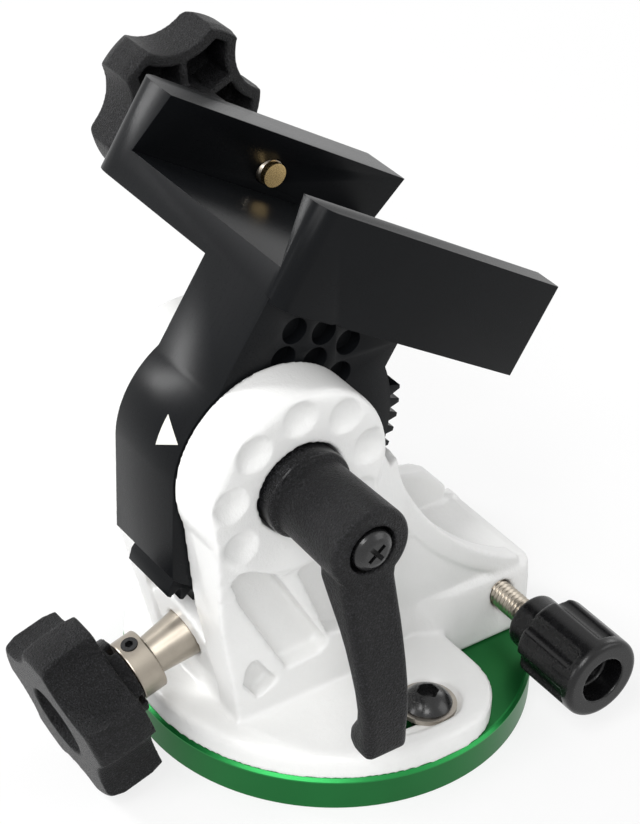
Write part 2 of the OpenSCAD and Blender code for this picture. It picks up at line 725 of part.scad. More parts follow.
module worm() {
    tooth_gap_a = first_tooth_a - saddle_tilt
        - tooth_step * (round((first_tooth_a - saddle_tilt - mesh_a) / tooth_step - 0.5) + 0.5);
    thread_s = pitch_r * tan(tooth_gap_a - mesh_a);
    turns = worm_l / worm_lead;
    color("silver") at_worm() {
        translate([0, 0, -worm_l / 2])
            linear_extrude(worm_l, twist = -360 * turns, slices = round(16 * turns), $fn = 12)
            rotate(180 - 360 * (thread_s + worm_l / 2) / worm_lead) worm_section();
        translate([0, 0, star_s - 7]) cylinder(r = shaft_r, h = -worm_l / 2 - star_s + 7 + eps);
        translate([0, 0, worm_l / 2 - eps]) cylinder(r = shaft_r, h = plug_s - worm_l / 2 - 0.1);
    }
}

module worm_front_bush() {
    inner_s = -chamber_half - 0.5;
    color("silver") at_worm() difference() {
        union() {
            translate([0, 0, boss_face_s]) cylinder(r = 5, h = inner_s - boss_face_s);
            translate([0, 0, bush_end_s]) cylinder(r1 = 4.05, r2 = 5, h = boss_face_s - bush_end_s);
        }
        translate([0, 0, bush_end_s - 1]) cylinder(r = shaft_r + run_fit, h = 40);
    }
}

// Bush behind the worm, relieved where the toothed sector passes
module worm_rear_bush() {
    color("goldenrod") difference() {
        at_worm() translate([0, 0, rear_bush_s]) tube(chamber_r - run_fit, shaft_r + run_fit, rear_bush_t);
        at_pivot() rod_y(cavity_r, -gap_y, gap_y);
    }
}

module worm_end_plug() {
    color("dimgray") at_worm() translate([0, 0, plug_s]) difference() {
        cylinder(r = chamber_r - run_fit, h = plug_t);
        translate([-6, -0.7, plug_t - 1.4]) cube([12, 1.4, 3]);
    }
}

module worm_collar() {
    color("silver") at_worm() translate([0, 0, collar_s - collar_t]) difference() {
        rotate_extrude() polygon(rounded([[shaft_r + run_fit, 0, 0], [collar_d / 2, 0, 0.4],
            [collar_d / 2, collar_t, 0.4], [shaft_r + run_fit, collar_t, 0]], 3));
        translate([-collar_d / 2 - 1, 0, collar_t / 2]) rotate([0, 90, 0])
            cylinder(r = 1.75, h = collar_d / 2 + 1);
    }
}

module collar_set_screw() {
    color("black") at_worm() translate([0, 0, collar_s - collar_t / 2]) rotate([0, -90, 0])
        difference() {
            translate([0, 0, shaft_r + 0.1]) cylinder(r = 1.75 - run_fit, h = collar_d / 2 - shaft_r);
            translate([0, 0, collar_d / 2 - 1]) cylinder(d = 1.8, h = 3, $fn = 6);
        }
}

// ---- knobs ----

// Star outline, grown by g on every side
module star_outline(g = 0) {
    chord_a = 180 / star_lobes - lobe_half_a;
    reach = star_r * cos(chord_a) + sqrt(pow(scallop_r, 2) - pow(star_r * sin(chord_a), 2));
    difference() {
        circle(star_r + g);
        for (k = [0:star_lobes - 1]) rotate((k + 0.5) * 360 / star_lobes)
            translate([reach, 0]) circle(scallop_r - g);
    }
}

// Hollow star knob from its open face at z = 0 to its closed face at z = t
module star_knob(t, boss_h, boss_r) {
    floor_t = 3;
    difference() {
        union() {
            intersection() {
                linear_extrude(t) star_outline();
                rotate_extrude() polygon(rounded([[0, 0, 0], [star_r - 0.6, 0, 0], [star_r + 0.2, t * 0.3, 8],
                    [star_r + 0.2, t * 0.7, 8], [star_r - 1, t, 1.6], [0, t, 0]]));
            }
        }
        difference() {
            translate([0, 0, -eps]) linear_extrude(t - floor_t) star_outline(-star_wall);
            cylinder(r = boss_r, h = t);
            for (k = [0:star_lobes - 1]) rotate((k + 0.5) * 360 / star_lobes)
                translate([0, -0.9, 0]) cube([star_r, 1.8, t]);
        }
        // Round recess in the closed face
        translate([0, 0, t - 1.8]) cylinder(r = 7.5, h = 3);
    }
    translate([0, 0, -boss_h]) cylinder(r = boss_r, h = boss_h + eps);
}

module altitude_knob() {
    color("dimgray") at_worm() translate([0, 0, star_s]) mirror([0, 0, 1]) difference() {
        rotate(36) star_knob(altitude_star_t, star_s * -1 + knob_boss_s, 8.3);
        translate([0, 0, -10]) cylinder(r = 4.5 + run_fit, h = 18.2);
        for (a = [0, 90]) rotate(a) translate([-10, -1.2, -10]) cube([20, 2.4, 8]);
    }
}

module altitude_knob_insert() {
    color("goldenrod") at_worm() translate([0, 0, star_s - 8])
        tube(4.5, shaft_r + run_fit, 11.4);
}

module clamp_knob() {
    color("dimgray") at_bracket() translate([clamp_u, clamp_star_y, clamp_w]) rotate([-90, 0, 0])
        difference() {
            rotate(-clamp_lobe_a) star_knob(clamp_star_t, clamp_star_y - clamp_boss_y, 6.2);
            translate([0, 0, -20]) cylinder(r = 4 + run_fit, h = 26.2);
        }
}

module clamp_knob_insert() {
    color("goldenrod") at_bracket() translate([clamp_u, clamp_star_y + 6, clamp_w]) rotate([90, 0, 0])
        tube(4, clamp_thread_d / 2 + run_fit, clamp_star_y + 6 - clamp_boss_y - 0.2);
}

module clamp_screw() {
    color("silver") at_bracket() translate([clamp_u, 0, clamp_w])
        rod_y(clamp_thread_d / 2, clamp_tip_y + 1.5, clamp_star_y + 5.8);
}

module clamp_tip() {
    color("goldenrod") at_bracket() translate([clamp_u, 0, clamp_w])
        rod_y(clamp_thread_d / 2 - 0.4, clamp_tip_y, clamp_tip_y + 1.45);
}

// ---- azimuth screws, drawn on the lever side; side = 1 is the far one ----

// Frame of a screw whose tip stands at the post, which is turned to one side at rest
module at_azimuth(side) {
    mirror([0, side > 0 ? 1 : 0, 0]) translate([post_x, -side * post_shift, azimuth_z]) children();
}

module azimuth_screw(side) {
    tip = post_d / 2 + 0.1 + 1.5;
    color("silver") at_azimuth(side) rod_y(azimuth_thread_d / 2, -azimuth_knob_y - 14, -tip);
}

module azimuth_tip(side) {
    tip = post_d / 2 + 0.1;
    color("goldenrod") at_azimuth(side) rod_y(azimuth_thread_d / 2 - 0.5, -tip - 1.45, -tip);
}

module azimuth_knob(side) {
    collar_l = 6;
    color("dimgray") at_azimuth(side) rotate([90, 0, 0]) translate([0, 0, azimuth_knob_y]) difference() {
        rotate_extrude() polygon(rounded([[0, 0, 0], [6, 0, 1], [6, collar_l, 0],
            [azimuth_knob_d / 2, collar_l, 1.2], [azimuth_knob_d / 2, collar_l + azimuth_knob_l, 1.2],
            [0, collar_l + azimuth_knob_l, 0]], 4));
        translate([0, 0, -1]) cylinder(r = azimuth_thread_d / 2 + run_fit, h = 15.3);
        translate([0, 0, collar_l + azimuth_knob_l - 5]) cylinder(r = 5, h = 6);
        for (k = [0:5]) rotate(60 * k + 15) translate([azimuth_knob_d / 2 + 1.2, 0, collar_l - 1])
            cylinder(r = 2.6, h = azimuth_knob_l - 1.6, $fn = 32);
    }
}

module near_azimuth_screw() azimuth_screw(-1);
module near_azimuth_knob() azimuth_knob(-1);
module near_azimuth_tip() azimuth_tip(-1);
module far_azimuth_screw() azimuth_screw(1);
module far_azimuth_knob() azimuth_knob(1);
module far_azimuth_tip() azimuth_tip(1);

base_plate();
azimuth_post();
azimuth_lock_bolts();
azimuth_lock_washers();
housing();
altitude_bolt();
lever_washer();
lever_insert();
lever_handle();
lever_spring();
lever_screw();
altitude_bracket();
worm();
worm_front_bush();
worm_rear_bush();
worm_end_plug();
worm_collar();
collar_set_screw();
altitude_knob();
altitude_knob_insert();
near_azimuth_screw();
near_azimuth_knob();
near_azimuth_tip();
far_azimuth_screw();
far_azimuth_knob();
far_azimuth_tip();
clamp_screw();
clamp_knob();
clamp_knob_insert();
clamp_tip();
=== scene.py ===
"""Finishes and moulded detail of a small equatorial mount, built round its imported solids."""

import json
import math

import bmesh
import bpy
from bpy.props import FloatProperty, FloatVectorProperty, PointerProperty
from mathutils import Matrix, Vector


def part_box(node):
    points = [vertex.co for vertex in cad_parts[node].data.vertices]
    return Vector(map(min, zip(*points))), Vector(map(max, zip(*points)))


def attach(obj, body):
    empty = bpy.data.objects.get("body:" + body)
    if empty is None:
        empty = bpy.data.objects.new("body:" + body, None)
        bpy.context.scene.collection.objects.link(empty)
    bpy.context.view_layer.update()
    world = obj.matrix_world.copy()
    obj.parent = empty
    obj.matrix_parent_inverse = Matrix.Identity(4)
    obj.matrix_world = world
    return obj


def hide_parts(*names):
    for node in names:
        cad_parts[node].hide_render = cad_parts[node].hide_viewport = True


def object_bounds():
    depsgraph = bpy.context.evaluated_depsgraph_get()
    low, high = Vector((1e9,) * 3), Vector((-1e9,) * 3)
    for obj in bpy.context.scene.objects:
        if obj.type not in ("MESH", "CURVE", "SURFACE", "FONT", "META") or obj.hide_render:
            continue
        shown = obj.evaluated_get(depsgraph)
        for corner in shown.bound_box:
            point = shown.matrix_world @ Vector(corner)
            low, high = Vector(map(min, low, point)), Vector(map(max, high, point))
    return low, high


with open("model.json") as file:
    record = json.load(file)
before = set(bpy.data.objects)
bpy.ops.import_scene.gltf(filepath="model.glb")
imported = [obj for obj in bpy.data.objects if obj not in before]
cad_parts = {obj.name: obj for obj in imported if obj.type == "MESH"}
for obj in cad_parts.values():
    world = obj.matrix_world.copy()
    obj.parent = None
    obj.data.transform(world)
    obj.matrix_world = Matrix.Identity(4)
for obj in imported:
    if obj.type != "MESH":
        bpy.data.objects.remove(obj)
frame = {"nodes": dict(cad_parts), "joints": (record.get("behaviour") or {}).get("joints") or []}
cad_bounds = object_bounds()

bl_info = {
    "name": "Equatorial Mount",
    "version": (1, 0, 0),
    "blender": (4, 5, 0),
    "location": "View3D > Sidebar > Mount",
    "description": "Cast housing, toothed bracket, knobs and lever of a small equatorial mount",
    "category": "Object",
}

MM = 0.001
JOINTS = {joint["name"]: joint for joint in frame["joints"]}
FLOOR_LEVEL = cad_bounds[0][2]
MERGE_DISTANCE = 0.002 * MM
FLAT_ANGLE = math.radians(0.5)  # flatter edges than this are dissolved before a bevel
BEVEL_ANGLE = math.radians(35)
SHARP_ANGLE = math.radians(30)
THREAD_SHARP_ANGLE = math.radians(40)
SMOOTH_ROUNDS = 3
GRIP_ROUNDS = 2
ROD_SIDES = 40
RINGS_PER_TURN = 10
SENSOR_WIDTH = 36
CLIP_START = 0.01
# Each lamp's offset from the point that the camera aims at, and its width and height, in metres
LAMPS = {
    "key": ((-0.75, -0.35, 1.0), (0.55, 0.55)),
    "front": ((-0.62, -0.85, 0.80), (0.4, 0.4)),
    "rear": ((-0.55, 0.78, 0.51), (0.16, 0.48)),
    "left": ((-1.05, 0.10, 0.30), (0.22, 0.36)),
    "fill": ((0.90, -0.90, 0.55), (0.8, 0.8)),
    "right": ((1.0, 0.3, 0.6), (0.5, 0.5)),
}


def length(name, description, default):
    return FloatProperty(name=name, description=description, default=default, unit="LENGTH", precision=5)


def angle(name, description, default):
    return FloatProperty(
        name=name, description=description, default=math.radians(default), subtype="ANGLE", unit="ROTATION"
    )


def colour(name, description, default):
    return FloatVectorProperty(
        name=name, description=description, default=default, size=3, min=0, max=1, subtype="COLOR"
    )


def power(name, description, default):
    return FloatProperty(name=name, description=description, default=default, unit="POWER")


def share(name, description, default):
    return FloatProperty(name=name, description=description, default=default, min=0, max=1)


class MountFinish(bpy.types.PropertyGroup):
    """Colours and textures of the mount's finishes."""

    paint: colour("Paint", "Powder paint on the casting", (0.83, 0.83, 0.82))
    paint_grain: length("Paint grain", "Size of the paint's texture", 0.9 * MM)
    anodised: colour("Anodised", "Black anodised aluminium", (0.0045, 0.005, 0.0058))
    green: colour("Green", "Green anodised aluminium", (0.008, 0.13, 0.028))
    plastic: colour("Plastic", "Black moulded plastic", (0.0045, 0.0045, 0.005))
    plastic_grain: length("Plastic grain", "Size of the moulded grain", 0.42 * MM)
    grain_depth: length("Grain depth", "Depth of the moulded grain", 0.42 * MM)
    nickel: colour("Nickel", "Nickel plated steel", (0.38, 0.34, 0.285))
    steel: colour("Steel", "Zinc plated steel", (0.42, 0.385, 0.34))
    oxide: colour("Black oxide", "Black oxide on steel", (0.007, 0.007, 0.0075))
    brass: colour("Brass", "Machined brass", (0.72, 0.52, 0.24))
    nylon: colour("Nylon", "Natural nylon", (0.80, 0.78, 0.70))
    mark: colour("Mark", "Printed pointer", (0.72, 0.71, 0.66))


class MountShape(bpy.types.PropertyGroup):
    """Sizes of the detail that the scene adds."""

    cast_voxel: length("Casting detail", "Finest detail of the casting's soft edges", 0.55 * MM)
    moulded_voxel: length("Moulding detail", "Finest detail of the moulded pieces' soft edges", 0.32 * MM)
    machined_edge: length("Machined edge", "Width of the broken edges on machined pieces", 0.35 * MM)
    thread_pitch: length("Thread pitch", "Pitch of the screws' threads", 1.0 * MM)
    thread_depth: length("Thread depth", "Depth of the screws' threads", 0.55 * MM)
    thread_relief: length("Thread relief", "How much thinner than its hole a screw is", 0.15 * MM)
    collar_end: length("Lever collar", "From the centre plane to the end of the smooth collar", 25 * MM)
    nose_radius: length("Nose radius", "Radius of the web's nose round the tilt axis", 20.2 * MM)
    # The bright rim is a painted highlight: the base plate's top outer edge is coloured a lighter green to
    # stand for the light on its chamfer.
    rim_highlight_width: length("Bright rim", "Width of the base plate's brighter turned rim", 1.0 * MM)
    rim_highlight_low: length("Rim height", "Height above which that rim is brighter", 6.6 * MM)


class MountStage(bpy.types.PropertyGroup):
    """Camera, lamps and floor."""

    azimuth: angle("Azimuth", "Direction that the camera looks in, from the Y axis", 36.652)
    elevation: angle("Elevation", "How far the camera looks down", 34.808)
    roll: angle("Roll", "How far the camera leans", 2.476)
    distance: length("Distance", "From the camera to the point it aims at", 0.4940)
    aim: FloatVectorProperty(
        name="Aim", description="Point that the camera aims at", default=(0.0076, 0.0162, 0.0525),
        size=3, subtype="XYZ", unit="LENGTH", precision=4,
    )
    lens: FloatProperty(name="Lens", description="Focal length in millimetres", default=136.84)
    key_power: power("Key lamp", "Power of the lamp above", 7.6)
    front_power: power("Front lamp", "Power of the lamp beside the camera", 4.2)
    rear_power: power("Rear lamp", "Power of the narrow lamp behind", 7.0)
    left_power: power("Left lamp", "Power of the lamp at the left", 1.6)
    right_power: power("Right lamp", "Power of the lamp at the right", 2.0)
    fill_power: power("Fill lamp", "Power of the broad lamp in front at the right", 3.5)
    ambient: share("Ambient", "Strength of the world's light on the object", 0.34)
    floor: colour("Floor", "Floor of the studio", (0.9, 0.9, 0.9))
    floor_half: length("Floor half", "Half the length of the floor's side", 3.0)
    fade_start: length("Fade start", "Distance at which the floor starts to fade to white", 0.12)
    fade_end: length("Fade end", "Distance at which the floor is fully white", 0.5)
    near_white: share("Near white", "How white the floor is at the object, over its shadow", 0.78)


def finish_values():
    return bpy.context.scene.mount_finish


def shape_values():
    return bpy.context.scene.mount_shape


# ---- nodes as expressions ----


def add_node(tree, kind, settings=None, inputs=None, output=0):
    """A new node with its settings and its sockets' values or links; returns one of its outputs."""
    made = tree.nodes.new(kind)
    for key, value in (settings or {}).items():
        if key == "stops":
            set_ramp(made.color_ramp, value)
        else:
            setattr(made, key, value)
    for key, value in (inputs or {}).items():
        if isinstance(value, Link):
            tree.links.new(value.socket, made.inputs[key])
        else:
            made.inputs[key].default_value = value
    return Link(tree, made.outputs[output])


def set_ramp(ramp, stops):
    while len(ramp.elements) < len(stops):
        ramp.elements.new(0.5)
    for element, (position, tone) in zip(ramp.elements, stops):
        element.position = position
        element.color = (*tone, 1) if len(tone) == 3 else tone


class Link:
    """A node's output that adds Math nodes when it is used as a number."""

    def __init__(self, tree, socket):
        self.tree = tree
        self.socket = socket

    def math(self, operation, *values):
        return add_node(
            self.tree, "ShaderNodeMath", {"operation": operation}, dict(enumerate(values))
        )

    def apply(self, operation, *others):
        """This number with another Math operation on it."""
        return self.math(operation, self, *others)

    def __add__(self, other):
        return self.math("ADD", self, other)

    def __sub__(self, other):
        return self.math("SUBTRACT", self, other)

    def __rsub__(self, other):
        return self.math("SUBTRACT", other, self)

    def __mul__(self, other):
        return self.math("MULTIPLY", self, other)

    def __truediv__(self, other):
        return self.math("DIVIDE", self, other)

    def __gt__(self, other):
        return self.math("GREATER_THAN", self, other)

    def __lt__(self, other):
        return self.math("LESS_THAN", self, other)

    def __abs__(self):
        return self.math("ABSOLUTE", self)

    __radd__ = __add__
    __rmul__ = __mul__


class Finish:
    """A material on the object's own coordinates, with one Principled shader."""

    def __init__(self, name, **constants):
        self.material = bpy.data.materials.new(name)
        self.material.use_nodes = True
        self.tree = self.material.node_tree
        self.shader = self.tree.nodes["Principled BSDF"]
        self.place = self.node("ShaderNodeTexCoord", output="Object")
        for socket, value in constants.items():
            self.set(socket.replace("_", " "), value)

    def node(self, kind, settings=None, inputs=None, output=0):
        return add_node(self.tree, kind, settings, inputs, output)

    def set(self, socket, value):
        if isinstance(value, Link):
            self.tree.links.new(value.socket, self.shader.inputs[socket])
        else:
            self.shader.inputs[socket].default_value = value

    def axes(self):
        return [self.node("ShaderNodeSeparateXYZ", None, {0: self.place}, k) for k in range(3)]

    def noise(self, size, detail=2.0, roughness=0.5, stretch=(1, 1, 1)):
        """Noise whose features are about size metres across."""
        place = self.node("ShaderNodeMapping", None, {"Vector": self.place, "Scale": stretch})
        return self.node(
            "ShaderNodeTexNoise", None,
            {"Vector": place, "Scale": 1 / size, "Detail": detail, "Roughness": roughness},
        )

    def cells(self, size):
        return self.node("ShaderNodeTexVoronoi", None, {"Vector": self.place, "Scale": 1 / size})

    def ramp(self, value, *stops):
        return self.node("ShaderNodeValToRGB", {"stops": stops}, {0: value})

    def mix(self, factor, first, second):
        """A colour between two colours."""
        def rgba(tone):
            return tone if isinstance(tone, Link) else (*tone, 1)

        return self.node(
            "ShaderNodeMix", {"data_type": "RGBA"},
            {0: factor, 6: rgba(first), 7: rgba(second)}, 2,
        )

    def bump(self, height, distance, strength=1.0):
        """Relief of the given height in metres."""
        self.set("Normal", self.node(
            "ShaderNodeBump", None, {"Height": height, "Distance": distance, "Strength": strength}
        ))


def scaled(tone, factor):
    return tuple(min(1.0, part * factor) for part in tone)


# ---- finishes ----


def paint_finish():
    """White powder paint with a fine rippled texture."""
    values = finish_values()
    made = Finish("white powder paint", Specular_IOR_Level=0.5, Coat_Weight=0.3, Coat_Roughness=0.12)
    broad = made.noise(9 * MM, 3)
    made.set("Base Color", made.mix(broad, scaled(values.paint, 0.97), scaled(values.paint, 1.02)))
    ripple = made.noise(values.paint_grain, 3, 0.55)
    made.set("Roughness", 0.3 + 0.16 * ripple)
    made.bump(ripple + 0.4 * made.noise(values.paint_grain / 3), 0.14 * MM, 0.6)
    return made.material


def anodised_finish(name, tone, grain=0.16 * MM, gloss=0.25):
    """Bead-blasted and anodised aluminium, with the faint lines of its machining."""
    made = Finish(name, Specular_IOR_Level=0.09)
    fine = made.noise(grain, 2, 0.6)
    lines = made.noise(0.5 * MM, 3, 0.6, stretch=(0.05, 1, 0.05))
    patch = made.noise(14 * MM, 2)
    made.set("Base Color", made.mix(patch, scaled(tone, 0.8), scaled(tone, 1.3)))
    made.set("Roughness", gloss - 0.04 + 0.12 * fine + 0.04 * lines)
    made.bump(fine + 0.3 * lines, 0.012 * MM, 0.5)
    return made


def bracket_finish():
    """Black anodising with a printed pointer on the web's nose."""
    values = finish_values()
    made = anodised_finish("black anodising", values.anodised)
    tilt_axis = Vector(JOINTS["altitude"]["pos_m"])
    x, y, z = made.axes()
    along = (z - tilt_axis.z).apply("ARCTAN2", tilt_axis.x - x) * shape_values().nose_radius
    pointer_base, pointer_tip, pointer_half, pointer_middle = -2.9 * MM, -8.7 * MM, 3.2 * MM, 8.9 * MM
    slope = (pointer_base - pointer_tip) / pointer_half
    inside = (y < pointer_base) * ((y - pointer_tip) > abs(along - pointer_middle) * slope)
    nose_front = tilt_axis.x - 10 * MM
    mark = inside * (x < nose_front)
    base = made.shader.inputs["Base Color"].links[0].from_socket
    made.set("Base Color", made.mix(mark, Link(made.tree, base), tuple(values.mark)))
    return made.material


def green_finish():
    """Green anodised plate with its turning marks, and a painted highlight along its top outer edge."""
    values = finish_values()
    made = Finish("green anodising", Metallic=0.75, Specular_IOR_Level=0.5)
    x, y, z = made.axes()
    shape = shape_values()
    plate_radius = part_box("base_plate")[1].x
    turning_step = 0.35 * MM
    radius = (x * x + y * y).apply("SQRT")
    turning = made.node(
        "ShaderNodeTexNoise", {"noise_dimensions": "1D"},
        {"W": radius, "Scale": 1 / turning_step, "Detail": 3.0},
    )
    fine = made.noise(0.15 * MM, 2, 0.6)
    patch = made.noise(20 * MM, 2)
    body = made.mix(patch, scaled(values.green, 0.85), scaled(values.green, 1.2))
    # Painted highlight: a lighter green band on the plate's top outer edge, where its chamfer would catch
    # the light.
    edge = (radius > plate_radius - shape.rim_highlight_width) * (z > shape.rim_highlight_low)
    made.set("Base Color", made.mix(edge * 0.6, body, scaled(values.green, 2.2)))
    made.set("Roughness", 0.3 + 0.14 * fine)
    made.bump(turning + fine * 0.5, 0.012 * MM, 0.6)
    return made.material


def moulded_finish(name, smooth_beyond=None):
    """Black glass-filled plastic with a moulded grain and painted glints in its colour, smooth past a plane
    across Y.
    """
    values = finish_values()
    made = Finish(name, Specular_IOR_Level=0.19)
    grain = made.noise(values.plastic_grain, 4, 0.65)
    cells = made.cells(values.plastic_grain * 1.2)
    rough = 1.0
    if smooth_beyond is not None:
        y = made.axes()[1]
        rough = y < smooth_beyond
    # Painted glints: bright flecks in the base colour stand for light catching the moulded grain.
    painted_glints = made.ramp(made.noise(values.plastic_grain * 0.6, 2), (0.52, (0, 0, 0)), (0.68, (1, 1, 1)))
    made.set("Base Color", made.mix(painted_glints, scaled(values.plastic, 0.7), scaled(values.plastic, 7)))
    made.set("Roughness", 0.26 + 0.24 * grain * rough)
    made.bump((grain + cells * 0.4) * rough, values.grain_depth, 1.0)
    return made.material


def smooth_plastic_finish():
    """Black plastic from a polished mould."""
    values = finish_values()
    made = Finish("smooth black plastic", Specular_IOR_Level=0.35)
    soft = made.noise(1.2 * MM, 3, 0.5)
    made.set("Base Color", made.mix(soft, scaled(values.plastic, 0.6), scaled(values.plastic, 1.1)))
    made.set("Roughness", 0.2 + 0.14 * soft)
    made.bump(soft, 0.02 * MM, 0.4)
    return made.material


def metal_finish(name, tone, gloss, grain=0.3 * MM, stretch=(1, 1, 1)):
    """Bare or plated metal with fine tool marks and slight staining."""
    made = Finish(name, Metallic=1.0)
    marks = made.noise(grain, 3, 0.6, stretch)
    stain = made.noise(3 * MM, 3, 0.6)
    made.set("Base Color", made.mix(stain, scaled(tone, 0.82), scaled(tone, 1.08)))
    made.set("Roughness", gloss - 0.05 + 0.14 * marks)
    made.bump(marks, 0.012 * MM, 0.5)
    return made.material


def oxide_finish():
    """Black oxide on steel, with an oily sheen."""
    values = finish_values()
    made = Finish("black oxide", Specular_IOR_Level=0.4, Coat_Weight=0.15, Coat_Roughness=0.1)
    soft = made.noise(0.8 * MM, 3, 0.6)
    made.set("Base Color", made.mix(soft, scaled(values.oxide, 0.6), scaled(values.oxide, 1.3)))
    made.set("Roughness", 0.2 + 0.15 * soft)
    made.bump(soft, 0.01 * MM, 0.4)
    return made.material


def nylon_finish():
    """Natural nylon, slightly waxy."""
    values = finish_values()
    made = Finish("nylon", Subsurface_Weight=0.1)
    soft = made.noise(0.7 * MM, 2)
    made.set("Base Color", made.mix(soft, scaled(values.nylon, 0.93), scaled(values.nylon, 1.04)))
    made.set("Roughness", 0.42 + 0.1 * soft)
    made.bump(soft, 0.01 * MM, 0.4)
    return made.material


def dress(node, material):
    """Gives a CAD node its finish."""
    mesh = frame["nodes"][node].data
    mesh.materials.clear()
    mesh.materials.append(material)


# ---- pieces ----


def merged_copy(node, name):
    """A new piece with a CAD node's mesh, its loose triangles joined."""
    piece = bpy.data.objects.new(name, frame["nodes"][node].data.copy())
    bpy.context.scene.collection.objects.link(piece)
    work = bmesh.new()
    work.from_mesh(piece.data)
    bmesh.ops.remove_doubles(work, verts=work.verts, dist=MERGE_DISTANCE)
    work.to_mesh(piece.data)
    work.free()
    return piece


def settle(piece):
    """Applies every modifier and leaves a plain mesh."""
    bpy.context.view_layer.update()
    seen = piece.evaluated_get(bpy.context.evaluated_depsgraph_get())
    mesh = bpy.data.meshes.new_from_object(seen)
    piece.modifiers.clear()
    old = piece.data
    piece.data = mesh
    mesh.name = piece.name
    bpy.data.meshes.remove(old)
    if len(mesh.polygons) == 0:
        raise RuntimeError(f"{piece.name} came out empty")
    return piece


def place(piece, body, slot_name, material, *nodes):
    """Sets a finished piece on its body, in the place of its CAD nodes."""
    piece.data.materials.clear()
    piece.data.materials.append(material)
    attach(piece, body)
    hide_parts(*nodes)


def soften(node, name, voxel, rounds=SMOOTH_ROUNDS):
    """A CAD node's shape with the soft edges of a casting or a moulding."""
    piece = merged_copy(node, name)
    remesh = piece.modifiers.new("Remesh", "REMESH")
    remesh.mode = "VOXEL"
    remesh.voxel_size = voxel
    remesh.use_smooth_shade = True
    smooth = piece.modifiers.new("Smooth", "SMOOTH")
    smooth.factor = 0.5
    smooth.iterations = rounds
    return settle(piece)


def break_edges(node, name, width):
    """A CAD node's shape with its sharp edges broken by a narrow bevel."""
    piece = merged_copy(node, name)
    work = bmesh.new()
    work.from_mesh(piece.data)
    bmesh.ops.dissolve_limit(
        work, angle_limit=FLAT_ANGLE, verts=work.verts, edges=work.edges, delimit={"NORMAL"}
    )
    work.to_mesh(piece.data)
    work.free()
    bevel = piece.modifiers.new("Bevel", "BEVEL")
    bevel.width = width
    bevel.segments = 2
    bevel.limit_method = "ANGLE"
    bevel.angle_limit = BEVEL_ANGLE
    bevel.use_clamp_overlap = True
    bevel.harden_normals = False
    settle(piece)
    piece.data.shade_smooth()
    piece.data.set_sharp_from_angle(angle=SHARP_ANGLE)
    return piece


def thread_tree():
    """Node tree of a threaded rod along Z: a fine cylinder pressed in along a helix."""
    tree = bpy.data.node_groups.new("Threaded rod", "GeometryNodeTree")
    for name, kind in (
        ("Radius", "NodeSocketFloat"), ("Depth", "NodeSocketFloat"), ("Pitch", "NodeSocketFloat"),
        ("Length", "NodeSocketFloat"), ("Start", "NodeSocketVector"), ("Turn", "NodeSocketRotation"),
        ("Finish", "NodeSocketMaterial"),
    ):
        tree.interface.new_socket(name, in_out="INPUT", socket_type=kind)
    tree.interface.new_socket("Geometry", in_out="OUTPUT", socket_type="NodeSocketGeometry")
    given = tree.nodes.new("NodeGroupInput")

    def value(name):
        return Link(tree, given.outputs[name])

    rings = value("Length") / value("Pitch") * RINGS_PER_TURN
    rod = add_node(
        tree, "GeometryNodeMeshCylinder", {"fill_type": "TRIANGLE_FAN"},
        {"Vertices": ROD_SIDES, "Side Segments": rings, "Radius": value("Radius"), "Depth": value("Length")},
    )
    here = add_node(tree, "GeometryNodeInputPosition")
    x, y, z = (add_node(tree, "ShaderNodeSeparateXYZ", None, {0: here}, k) for k in range(3))
    turns = y.apply("ARCTAN2", x) / (2 * math.pi)
    phase = (z / value("Pitch") - turns).apply("FRACT")
    groove = 1 - abs(phase * 2 - 1)
    distance = (x * x + y * y).apply("SQRT")
    inward = groove * value("Depth") / value("Radius") * (distance > value("Radius") * 0.5)
    push = add_node(
        tree, "ShaderNodeCombineXYZ", None, {0: x * inward * -1, 1: y * inward * -1}
    )
    grooved = add_node(tree, "GeometryNodeSetPosition", None, {"Geometry": rod, "Offset": push})
    placed = add_node(
        tree, "GeometryNodeTransform", None,
        {"Geometry": grooved, "Translation": value("Start"), "Rotation": value("Turn")},
    )
    real = add_node(tree, "GeometryNodeRealizeInstances", None, {"Geometry": placed})
    painted = add_node(
        tree, "GeometryNodeSetMaterial", None, {"Geometry": real, "Material": value("Finish")}
    )
    tree.links.new(painted.socket, tree.nodes.new("NodeGroupOutput").inputs["Geometry"])
    return tree


def grow(name, tree, **inputs):
    """A piece made by a node tree from its named inputs."""
    mesh = bpy.data.meshes.new(name)
    piece = bpy.data.objects.new(name, mesh)
    bpy.context.scene.collection.objects.link(piece)
    modifier = piece.modifiers.new("Tree", "NODES")
    modifier.node_group = tree
    sockets = {item.name: item.identifier for item in tree.interface.items_tree if item.in_out == "INPUT"}
    for key, value in inputs.items():
        modifier[sockets[key]] = value
    return settle(piece)


# ---- operators ----


class MOUNT_OT_base(bpy.types.Operator):
    """Finish the green base plate, its post and its lock bolts"""

    bl_idname = "mount.base"
    bl_label = "Base plate"

    def execute(self, context):
        values = finish_values()
        dress("base_plate", green_finish())
        steel = metal_finish("zinc plated steel", values.steel, 0.32)
        dress("azimuth_post", steel)
        dress("azimuth_lock_washers", steel)
        dress("azimuth_lock_bolts", oxide_finish())
        return {"FINISHED"}


class MOUNT_OT_casting(bpy.types.Operator):
    """Make the painted casting of the housing with its soft edges"""

    bl_idname = "mount.casting"
    bl_label = "Cast housing"

    def execute(self, context):
        piece = soften("housing", "housing_casting", shape_values().cast_voxel)
        place(piece, "housing", "white_paint", paint_finish(), "housing")
        return {"FINISHED"}


class MOUNT_OT_bracket(bpy.types.Operator):
    """Make the black anodised bracket with its broken edges"""

    bl_idname = "mount.bracket"
    bl_label = "Toothed bracket"

    def execute(self, context):
        piece = break_edges("altitude_bracket", "bracket_machined", shape_values().machined_edge)
        place(piece, "bracket", "black_anodised", bracket_finish(), "altitude_bracket")
        return {"FINISHED"}


